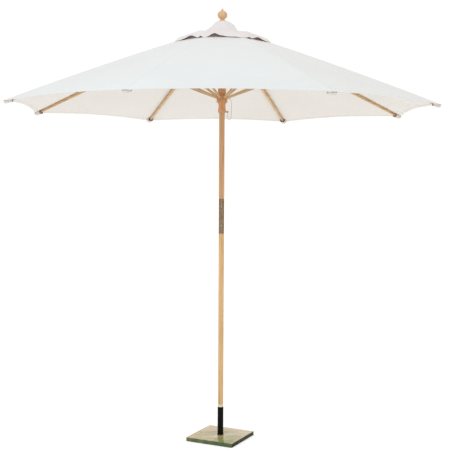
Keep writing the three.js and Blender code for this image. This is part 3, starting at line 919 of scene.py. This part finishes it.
def bracket_template(look, steel):
    """A U of sheet brass screwed under the rib, with the strut's riveted pin across it."""
    drop, sheet, half, ear = 0.010, 0.0016, 0.008, 0.0075
    turns = [math.pi * (1 + n / 12) for n in range(13)]
    outline = [(ear * math.cos(a), ear * math.sin(a)) for a in turns]
    outline += [(0.0095, drop - 0.002), (-0.0095, drop - 0.002)]
    ears = []
    for side in (-1, 1):
        y = side * (half - sheet / 2)
        faces = [[(x, y + out, z) for x, z in outline] for out in (-sheet / 2, sheet / 2)]
        ears.append(loft("ear", faces, look))
    under = drop - 0.0023
    foot = block("bracket_template", (-0.022, 0.022), (-half, half), (under, drop - 0.0004), look)
    body = soften(join([foot, *ears]), 0.0005, 2)
    pin = rod("pin", (0, -half - 0.0004, 0), (0, half + 0.0004, 0), 0.0024, steel, 24)
    heads = [rod("head", (0, side * (half + 0.0001), 0), (0, side * (half + 0.0009), 0),
                 0.0036, steel, 24, 0.0008) for side in (-1, 1)]
    screws = [rod("screw", (x, 0, under), (x, 0, drop - 0.0031), 0.0028, steel, 20, 0.0006)
              for x in (-0.0165, 0.0165)]
    template = join([body, pin, *heads, *screws])
    shade(outward(template), 35)
    step = 0.001
    slope = math.atan((ridge_z(PIVOT.x - step) - ridge_z(PIVOT.x + step)) / (2 * step))
    template.data.transform(Matrix.Translation(PIVOT) @ Matrix.Rotation(slope, 4, "Y"))
    return template


def add_arms(brass, steel):
    """Every rib, strut and bracket, each a turned copy of one drawn along +X."""
    rib_wood = wood("rib_wood", (0.68, 0.46, 0.24), (0.6, 0.385, 0.19), (0.45, 0.265, 0.12))
    kinds = {"rib": (rib_template(rib_wood), "rib", "honey_wood"),
             "strut": (strut_template(rib_wood), "strut", "honey_wood"),
             "bracket": (bracket_template(brass, steel), "rib", "aged_brass")}
    for k in RIBS:
        for kind, (template, body, slot) in kinds.items():
            piece = turned_copy(template, f"{kind}_piece_{k}", arm(k))
            fit(piece, f"{body}_{k}", f"{kind}_{k}")
    for template, _, _ in kinds.values():
        bpy.data.objects.remove(template)


# ---- cloth -----------------------------------------------------------------------------------

CLOTH = 0.0011                 # thickness of one layer
CLOTH_DROP = 0.0004            # the sheet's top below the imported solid's
HEM, SEAM = 0.0195, 0.0052     # width of the hem's fold, and half the width of a seam
HEM_FOLD = 0.022               # the cloth's rows close up this far from its edge
CLOTH_STRETCH = 1.065          # metres along the sloping cloth for one metre out
EDGE_ROLL = 0.0012             # the edge thins this close to it
NEAR_RIB = [0, 0.003, SEAM, 0.006, 0.009, 0.014]
ACROSS_STEPS = 17
TAN_HALF = math.tan(HALF_SECTOR)


def columns():
    """Lines along the cloth from one panel's middle to the next: (side, offset, share)."""
    last = NEAR_RIB[-1]
    half = [(offset, 0.0) for offset in NEAR_RIB]
    half += [(last, n / ACROSS_STEPS) for n in range(1, ACROSS_STEPS + 1)]
    return [(-1, o, s) for o, s in half[::-1]] + [(1, o, s) for o, s in half[1:]]


def half_width(radius):
    return radius * math.cos(HALF_SECTOR) * math.sin(HALF_SECTOR)


def distance_across(column, radius):
    _, offset, share = column
    return offset + share * (half_width(radius) - NEAR_RIB[-1])


def hem_radius(column):
    share = distance_across(column, CORNER) / half_width(CORNER)
    return CORNER - SCALLOP * (1 - (1 - share) ** 2)


def sag(radius, share):
    """How far the cloth hangs below the straight line between two ribs; its hem pulls it up."""
    along = min(max((radius - VENT_HOLE) / (CORNER - VENT_HOLE), 0), 1)
    across = math.sin(math.pi / 2 * share) ** 2
    return across * (0.006 * math.sin(math.pi * along) ** 0.7 - 0.004 * along ** 6)


def canopy_top(x, y):
    """Height of the cloth over a place in a rib's own axes."""
    radius = x + abs(y) * TAN_HALF
    return ridge_z(radius) - CLOTH_DROP - sag(radius, abs(y) / half_width(radius))


def canopy_rows():
    """Rows of the cloth as (share of the way to the hem's fold, distance from the edge)."""
    rows = [(n / 46, None) for n in range(46)]
    return rows + [(None, d) for d in (HEM_FOLD, 0.02, HEM, 0.012, 0.004, EDGE_ROLL, 0.0003, 0.0)]


def canopy_point(column, row):
    """A place on the canopy in a rib's own axes, and its cloth coordinates."""
    side, offset, share = column
    rim = hem_radius(column)
    along, from_edge = row
    radius = rim - from_edge if along is None else VENT_HOLE + along * (rim - HEM_FOLD - VENT_HOLE)
    y = distance_across(column, radius)
    ridge = 0.0004 if share == 0 and offset <= SEAM else 0
    x = radius - y * TAN_HALF
    cloth = (side * y, radius * CLOTH_STRETCH, (rim - radius) * CLOTH_STRETCH)
    return (x, side * y, canopy_top(x, y) + ridge), cloth


def round_of_cloth(lines, drawn):
    """World points and cloth coordinates of a whole round, [line, row]. drawn(line, k) gives one
    line in rib k's axes. The last line of a rib's stretch is the first of the next."""
    points, places = [], []
    for k in RIBS:
        turn = np.array(arm(k).to_3x3())
        for line in lines[:-1]:
            made = drawn(line, k)
            points.append(np.array([p for p, _ in made]) @ turn.T)
            places.append([c for _, c in made])
    return np.array(points), np.array(places)


def normals_of(points):
    """The cloth's upward directions, from its neighbours along and across a whole round."""
    along = np.gradient(points, axis=1)
    across = np.roll(points, -1, axis=0) - np.roll(points, 1, axis=0)
    normal = np.cross(along, across)
    return normal / np.maximum(np.linalg.norm(normal, axis=2, keepdims=True), 1e-12)


def creases(points, normals, depth, size, seed):
    """Moves the points along their normals by a smooth random amount."""
    moved = points.copy()
    for index in np.ndindex(points.shape[:2]):
        p = points[index] / size + seed
        amount = noise.noise(Vector(p)) + 0.5 * noise.noise(Vector(p * 2.3 + 5.1))
        moved[index] = points[index] + normals[index] * amount * depth[index]
    return moved


def cloth_piece(name, top, normals, thickness, places, *looks, wrap=False):
    """A closed sheet with the points as its top side, so thick below them."""
    lines, rows = top.shape[:2]
    count = lines * rows
    under = top - normals * thickness[..., None]
    index = np.arange(count).reshape(lines, rows).tolist()
    above, below, edge = 0, 1, 2
    faces, kinds = [], []

    def add_edge(a, b, flip):
        faces.append([a, b, b + count, a + count][::flip])
        kinds.append(edge)

    for c in range(lines if wrap else lines - 1):
        near, far = index[c], index[(c + 1) % lines]
        for r in range(rows - 1):
            upper = [near[r], near[r + 1], far[r + 1], far[r]]
            faces += [upper, [n + count for n in upper[::-1]]]
            kinds += [above, below]
        for r, flip in ((0, 1), (rows - 1, -1)):
            add_edge(near[r], far[r], flip)
    for c, flip in () if wrap else ((0, 1), (lines - 1, -1)):
        for r in range(rows - 1):
            a, b = index[c][r], index[c][r + 1]
            faces.append([a, a + count, b + count, b][::flip])
            kinds.append(edge)
    vertices = np.concatenate([top.reshape(-1, 3), under.reshape(-1, 3)])
    piece = add_piece(name, vertices, faces, *looks)
    mesh = piece.data
    last_look = len(looks) - 1
    mesh.polygons.foreach_set("material_index", [min(kind, 1, last_look) for kind in kinds])
    mesh.polygons.foreach_set("use_smooth", [True] * len(faces))
    given = [normals.reshape(-1, 3), -normals.reshape(-1, 3)]
    corners = []
    for face, kind, polygon in zip(faces, kinds, mesh.polygons):
        flat = tuple(polygon.normal)
        corners += [flat if kind == edge else tuple(given[kind][n % count]) for n in face]
    mesh.normals_split_custom_set(corners)
    store(piece, "cloth", np.concatenate([places.reshape(-1, 3)] * 2))
    return piece


def gather(piece, k):
    """The cloth rides on its rib, with a mesh of its own."""
    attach(piece, f"rib_{k}")
    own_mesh(piece)


def gather_half(piece, k):
    """Half a panel rides on its rib, with a mesh of its own."""
    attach(piece, f"rib_{k}")
    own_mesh(piece)


def section(array, lines, k):
    """The lines of rib k's stretch out of a whole round."""
    start = (k - 1) * (lines - 1)
    wanted = [(start + n) % len(array) for n in range(lines)]
    return array[wanted]


def add_canopy(outer, inner, pocket_look, binding_and_shade_look):
    """The canopy as two half panels to each rib, one on each side of it, and the pockets under its
    corners."""
    lines, rows = columns(), canopy_rows()
    count = len(RIBS)
    points, places = round_of_cloth(
        lines, lambda line, k: [canopy_point(line, row) for row in rows])
    normals = normals_of(points)
    shares = np.array([distance_across(c, CORNER) / half_width(CORNER) for c in lines[:-1]] * count)
    loose = np.sin(np.pi / 2 * np.clip(shares * 4, 0, 1))[:, None] ** 2 * np.ones(len(rows))[None]
    moved = creases(points, normals, loose * 0.0011, np.array([0.23, 0.23, 0.5]), 3.0)
    moved = creases(moved, normals, loose * 0.0005, np.array([0.06, 0.06, 0.2]), 9.0)
    normals = normals_of(moved)
    on_seam = np.array([c[2] == 0 and c[1] <= SEAM for c in lines[:-1]] * count)[:, None]
    in_hem = np.array([along is None and edge <= HEM for along, edge in rows])[None]
    seam_extra, hem_extra, thin_edge = 0.0008, 0.0009, 0.45
    rolled = [1.0 if along is not None else min(1, thin_edge + edge / EDGE_ROLL * (1 - thin_edge))
              for along, edge in rows]
    thickness = (CLOTH + on_seam * seam_extra + in_hem * hem_extra) * np.array(rolled)[None]
    seam = len(lines) // 2
    for k in RIBS:
        part = [section(a, len(lines), k) for a in (moved, normals, thickness, places)]
        sewn_on = add_pocket(k, pocket_look, binding_and_shade_look)
        for name, side, span in (("left", -1, slice(0, seam + 1)), ("right", 1, slice(seam, None))):
            half = [a[span] for a in part]
            canopy = cloth_piece(f"canopy_cloth_{k}_{name}", *half, outer, inner)
            gather_half(canopy, k)
            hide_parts(f"canopy_{k}")


def add_pocket(k, look, binding_and_shade_look):
    """The pocket under a corner that holds the rib's tip, with its bound mouth; the binding's dark
    brown is partly painted shade in the mouth.
    """
    mouth, end = CORNER - 0.052, CORNER - 0.005
    flange, thick, steps = 0.005, 0.0009, 16
    bag_share, flange_share = 0.8, 0.2           # of the way from its middle to its sewn edge
    turns = np.linspace(-1, 1, 33)
    points, places = [], []
    for t in turns:
        line, cloth = [], []
        v = t / bag_share
        for n in range(steps + 1):
            u = 1 - (1 - n / steps) ** 1.7
            half = 0.0165 * (1 - 0.25 * u ** 2)
            hang = 0.0012 + 0.0205 * (1 - 0.1 * u) * (1 - u ** 7) ** 0.7
            if abs(t) <= bag_share:
                y = half * math.sin(math.pi / 2 * v)
                bag = hang * max(0.0, 1 - abs(v) ** 2.6) ** 0.62
            else:
                y = math.copysign(half + flange * (abs(t) - bag_share) / flange_share, t)
                bag = 0
            x = mouth + (end - mouth) * u
            line.append((x, y, canopy_top(x, y) - CLOTH - 0.0022 - bag))
            cloth.append((y + 0.03, u * (end - mouth), 0.1))
        points.append(line)
        places.append(cloth)
    turn = np.array(arm(k).to_3x3())
    local = np.array(points)
    top = local @ turn.T
    normal = np.cross(np.gradient(top, axis=1), np.gradient(top, axis=0))
    normal /= np.linalg.norm(normal, axis=2, keepdims=True)
    depth = np.full(top.shape[:2], thick)
    pocket = cloth_piece(f"pocket_{k}", top, normal, depth, np.array(places), look)
    rings = [[turn @ p for p in ring] for ring in binding_rings(local, thick)]
    binding = shade(outward(loft(f"pocket_binding_{k}", rings, binding_and_shade_look)), 50)
    for piece in (pocket, binding):
        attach(piece, f"rib_{k}")
    return [pocket, binding]


def binding_rings(pocket, thick):
    """Sections of the tape folded over a pocket's mouth, which is its first row of points."""
    lip, tape = 0.0042, 0.0013
    corners = [(-lip, -tape * 0.6), (-lip, tape * 0.6), (-lip * 0.6, tape), (lip, tape * 0.9),
               (lip, -tape * 0.9), (-lip * 0.6, -tape)]
    last = len(pocket) - 1
    rings = []
    for c in range(last + 1):
        here = pocket[c, 0] + (pocket[c, 1] - pocket[c, 0]) * 0.3
        ahead = pocket[min(c + 1, last), 0] - pocket[max(c - 1, 0), 0]
        side = np.array([0, -ahead[2], ahead[1]]) / np.linalg.norm(ahead[1:])
        middle = here - side * thick / 2
        rings.append([middle + np.array([a, 0, 0]) + side * b for a, b in corners])
    return rings


# The vent cap's profile from the finial out, (radius, z), where it falls steeply and gently.
STEEP_BELL = [(0.006, 2.6658), (0.034, 2.6664), (0.049, 2.6622), (0.071, 2.6475), (0.091, 2.6185),
              (0.112, 2.6005), (0.16, 2.5835)]
GENTLE_BELL = [(0.006, 2.6658), (0.034, 2.6662), (0.047, 2.6595), (0.062, 2.643), (0.084, 2.6235),
               (0.112, 2.6035), (0.16, 2.5845)]
STEEP_AZIMUTH = 117.0
BELL_STEPS = 5
# Where the vent cap's hem is turned up: azimuth and half-width in degrees, and the rise.
RUFFLES = [(341.7, 9, 0.018), (1.0, 3.0, 0.010), (17.3, 5.5, 0.023), (27, 4, 0.004), (43, 4, 0.003),
           (60.8, 4.5, 0.008), (78.7, 7, 0.014), (106, 6, 0.011), (127, 7, 0.016), (151, 5, 0.009),
           (171, 8, 0.015), (197, 6, 0.010), (217, 9, 0.017), (243, 6, 0.012), (262, 7, 0.016),
           (289, 6, 0.010), (307, 7, 0.015)]
VENT_HEM = drawn_points("vent_skirt_1")[:, 0].max() * math.cos(HALF_SECTOR)


def from_azimuth(azimuth, other):
    """The angle between two azimuths, in degrees."""
    return abs((azimuth - other + 180) % 360 - 180)


def hem_lift(azimuth, from_rib):
    """How far the vent cap's hem stands above the canopy; it is sewn down near a rib."""
    rise = sum(height * math.exp(-(from_azimuth(azimuth, at) / half) ** 2)
               for at, half, height in RUFFLES)
    held = 1 - 0.75 * math.exp(-(from_rib / 2.5) ** 2)
    return 0.0015 + rise * held


def vent_controls(azimuth, from_rib):
    """The profile's control points at one azimuth; radii are those at the middle of a panel."""
    steep = 0.5 + 0.5 * math.cos(math.radians(azimuth - STEEP_AZIMUTH))
    bell = [np.array(a) * steep + np.array(b) * (1 - steep)
            for a, b in zip(STEEP_BELL, GENTLE_BELL)]
    lift = hem_lift(azimuth, from_rib)
    turned_up = min(1.0, lift / 0.03)
    scallop = 0.021 * math.sin(math.pi / 2 * from_rib / math.degrees(HALF_SECTOR)) ** 2
    slipped = 0.016 * max(0.0, math.cos(math.radians(from_azimuth(azimuth, 27))))
    hem = VENT_HEM - 0.003 - scallop - slipped + 0.006 * turned_up
    skirt = []
    gathered = 0.006 * math.exp(-(from_rib / 7) ** 2)
    for share, held_up in ((0.68, 0.021), (0.81, 0.022), (0.905, 0.023)):
        radius = hem * share
        over_canopy = held_up - gathered + lift * 0.3
        skirt.append((radius, ridge_z(radius / math.cos(HALF_SECTOR)) + over_canopy))
    return [*bell, *skirt, (hem, ridge_z(hem / math.cos(HALF_SECTOR)) + lift)]


def vent_column(angle, k):
    """Points and cloth coordinates down one line of the vent cap, in rib k's axes."""
    x, y, _ = JOINTS[f"rib_{k}_fold"]["pos_m"]
    azimuth = math.degrees(math.atan2(y, x) + angle) + 90
    from_rib = abs(math.degrees(angle))
    from_middle = HALF_SECTOR - abs(angle)
    made, run = [], 0.0
    profile = smooth_line(vent_controls(azimuth % 360, from_rib), BELL_STEPS)
    fold = (math.sin(math.radians(azimuth * 9 + 40))
            + 0.8 * math.sin(math.radians(azimuth * 5 + 110)))
    for n, (radius, z) in enumerate(profile):
        on_bell = math.exp(-((radius - 0.088) / 0.03) ** 2)
        radius_here = radius + 0.0034 * fold * on_bell
        corner = min(max((radius - 0.08) / 0.12, 0), 1)
        corner = corner * corner * (3 - 2 * corner)
        plan = radius_here * (1 + (1 / math.cos(from_middle) - 1) * corner)
        run += 0 if n == 0 else float(np.hypot(*(profile[n] - profile[n - 1])))
        made.append(((plan * math.cos(angle), plan * math.sin(angle), z), (plan * angle, run)))
    return [(point, (across, along, run - along)) for point, (across, along) in made]


def add_vent_cap(outer, inner, gap_shade_look):
    """The vent cap: one bell on the crown, and for each rib a shoulder, a skirt and a dark tape
    under its hem, which is painted shade in the gap.
    """
    lines = [HALF_SECTOR * n / 20 for n in range(-20, 21)]
    points, places = round_of_cloth(lines, vent_column)
    rows = points.shape[1]
    normals = normals_of(points)
    loose = np.clip(np.linspace(0, 1, rows) * 2 - 0.55, 0, 1)[None] * np.ones(len(points))[:, None]
    points = creases(points, normals, loose * 0.0022, np.array([0.05, 0.05, 0.05]), 1.7)
    normals = normals_of(points)
    thickness = np.full(points.shape[:2], CLOTH)
    thickness[:, -4:] = CLOTH * 2
    thickness[:, -1] = CLOTH * 0.8
    on_crown, on_rib = BELL_STEPS * 5, BELL_STEPS * 6
    whole = [points, normals, thickness, places]
    bell = [a[:, :on_crown + 1] for a in whole]
    top = cloth_piece("vent_cap_bell", *bell, outer, inner, wrap=True)
    fit(top, "mast", "vent_cap_top")
    for k in RIBS:
        part = [section(a, len(lines), k) for a in whole]
        shoulder = [a[:, on_crown:on_rib + 1] for a in part]
        skirt = [a[:, on_rib:] for a in part]
        collar = cloth_piece(f"vent_cap_shoulder_{k}", *shoulder, outer, inner)
        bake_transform(collar)
        cloth = cloth_piece(f"vent_cap_skirt_{k}", *skirt, outer, inner)
        tape = add_hem_gap_shade(k, part, gap_shade_look)
        for piece in (cloth, tape):
            gather(piece, k)
        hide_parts(f"vent_skirt_{k}")


def add_hem_gap_shade(k, part, look):
    """A dark brown tape inside the hem, hanging to just above the canopy: painted shade in the gap
    under the hem.
    """
    points, normals, _, places = part
    back = np.array(arm(k).to_3x3()).T
    inset, steps, thick, gap = 4, 4, 0.0008, 0.002
    upper = points[:, -inset] - normals[:, -inset] * (CLOTH * 2 + 0.0006)
    lower = upper.copy()
    for n, (x, y, _) in enumerate(upper @ back.T):
        lower[n, 2] = min(canopy_top(x, y) + gap, upper[n, 2] - 0.002)
    grid = np.array([upper + (lower - upper) * s / steps for s in range(steps + 1)])
    grid = grid.transpose(1, 0, 2)
    out = grid.copy()
    out[..., 2] = 0
    out /= np.linalg.norm(out, axis=2, keepdims=True)
    where = np.repeat(places[:, -inset:-inset + 1], steps + 1, axis=1)
    depth = np.full(grid.shape[:2], thick)
    return cloth_piece(f"vent_gap_shade_{k}", grid, out, depth, where, look)


# ---- ring, bolt, washer and stud; floor and light --------------------------------------------

def add_hardware(steel):
    """The ring in the crown, and the steel of the bolt, its washer and the finial's stud."""
    ring = hoop("crown_ring_wire", (0, 0, HINGE.z), (0, 0, 1), HINGE.x, 0.002, steel, 96)
    fit(ring, "mast", "crown_ring")
    for node in ("base_washer", "base_bolt", "finial_stud"):
        for slot in frame["nodes"][node].material_slots:
            slot.material = steel


def add_stage():
    """A plain pale floor, an even studio light all round and one soft cool lamp."""
    look = Look("floor", 0.9, Specular_IOR_Level=0.1, Emission_Color=(1, 1, 1, 1),
                Emission_Strength=0.2)
    look.colour(look.ramp(look.noise(look.place(), 3, 2), (0.3, 0.92), (0.7, 0.94)))
    size = 60
    corners = [(x * size, y * size, 0) for x, y in ((-1, -1), (1, -1), (1, 1), (-1, 1))]
    floor = add_piece("floor", corners, [[0, 1, 2, 3]], look.material)
    world = bpy.data.worlds.new("studio")
    bpy.context.scene.world = world
    world.use_nodes = True
    background = world.node_tree.nodes["Background"]
    background.inputs["Color"].default_value = (1, 0.977, 0.95, 1)
    background.inputs["Strength"].default_value = 1.058
    add_light("key", (0.9, -5.0, 4.4), (0, 0, 1.9), 3.0, 80, (0.5, 0.78, 1.0))
    bpy.context.scene.view_settings.view_transform = "Standard"


def add_light(name, place, aim, size, power, colour):
    data = bpy.data.lights.new(name, "AREA")
    data.energy, data.size, data.color = power, size, colour
    light = bpy.data.objects.new(name, data)
    light.location = place
    light.rotation_euler = (Vector(aim) - Vector(place)).to_track_quat("-Z", "Y").to_euler()
    bpy.context.scene.collection.objects.link(light)


# ---- everything ------------------------------------------------------------------------------

add_camera()
add_cord()
add_base()
add_tube()
add_collar()
honey = add_poles()
brass, zinc = add_ferrule()
add_crown(honey)
add_finial()
runner_wood = wood("runner_wood", (0.66, 0.33, 0.145), (0.58, 0.27, 0.11), (0.41, 0.17, 0.062),
                   0.35)
add_runner(runner_wood, zinc)
add_arms(brass, zinc)
add_hardware(zinc)
# The outer canvas's pinker band round the vent is painted shade of the vent cap's hem.
outer_cloth = canvas("canvas_outer", (0.713, 0.712, 0.697), (0.69, 0.687, 0.67),
                     vent_hem_shade=(0.725, 0.665, 0.645))
# The underside's warmer cream is partly the cloth's own tint and partly painted warm light bounced
# from below.
inner_cloth = canvas("canvas_inner", (0.72, 0.697, 0.66), (0.695, 0.668, 0.627))
vent_cloth = canvas("canvas_vent", (0.74, 0.682, 0.665), (0.68, 0.63, 0.62))
pocket_cloth = canvas("canvas_pocket", (0.64, 0.585, 0.545), (0.60, 0.54, 0.50), stitched=False)
# This brown is a real binding on the pockets' mouths, darkened in part as painted shade there. As
# the tape in the gap under the vent cap's hem, it is wholly painted shade.
brown_binding_and_shade = canvas("brown_binding_and_shade", (0.30, 0.205, 0.18), (0.235, 0.16, 0.14), stitched=False)
add_canopy(outer_cloth, inner_cloth, pocket_cloth, brown_binding_and_shade)
add_vent_cap(vent_cloth, inner_cloth, brown_binding_and_shade)
add_stage()
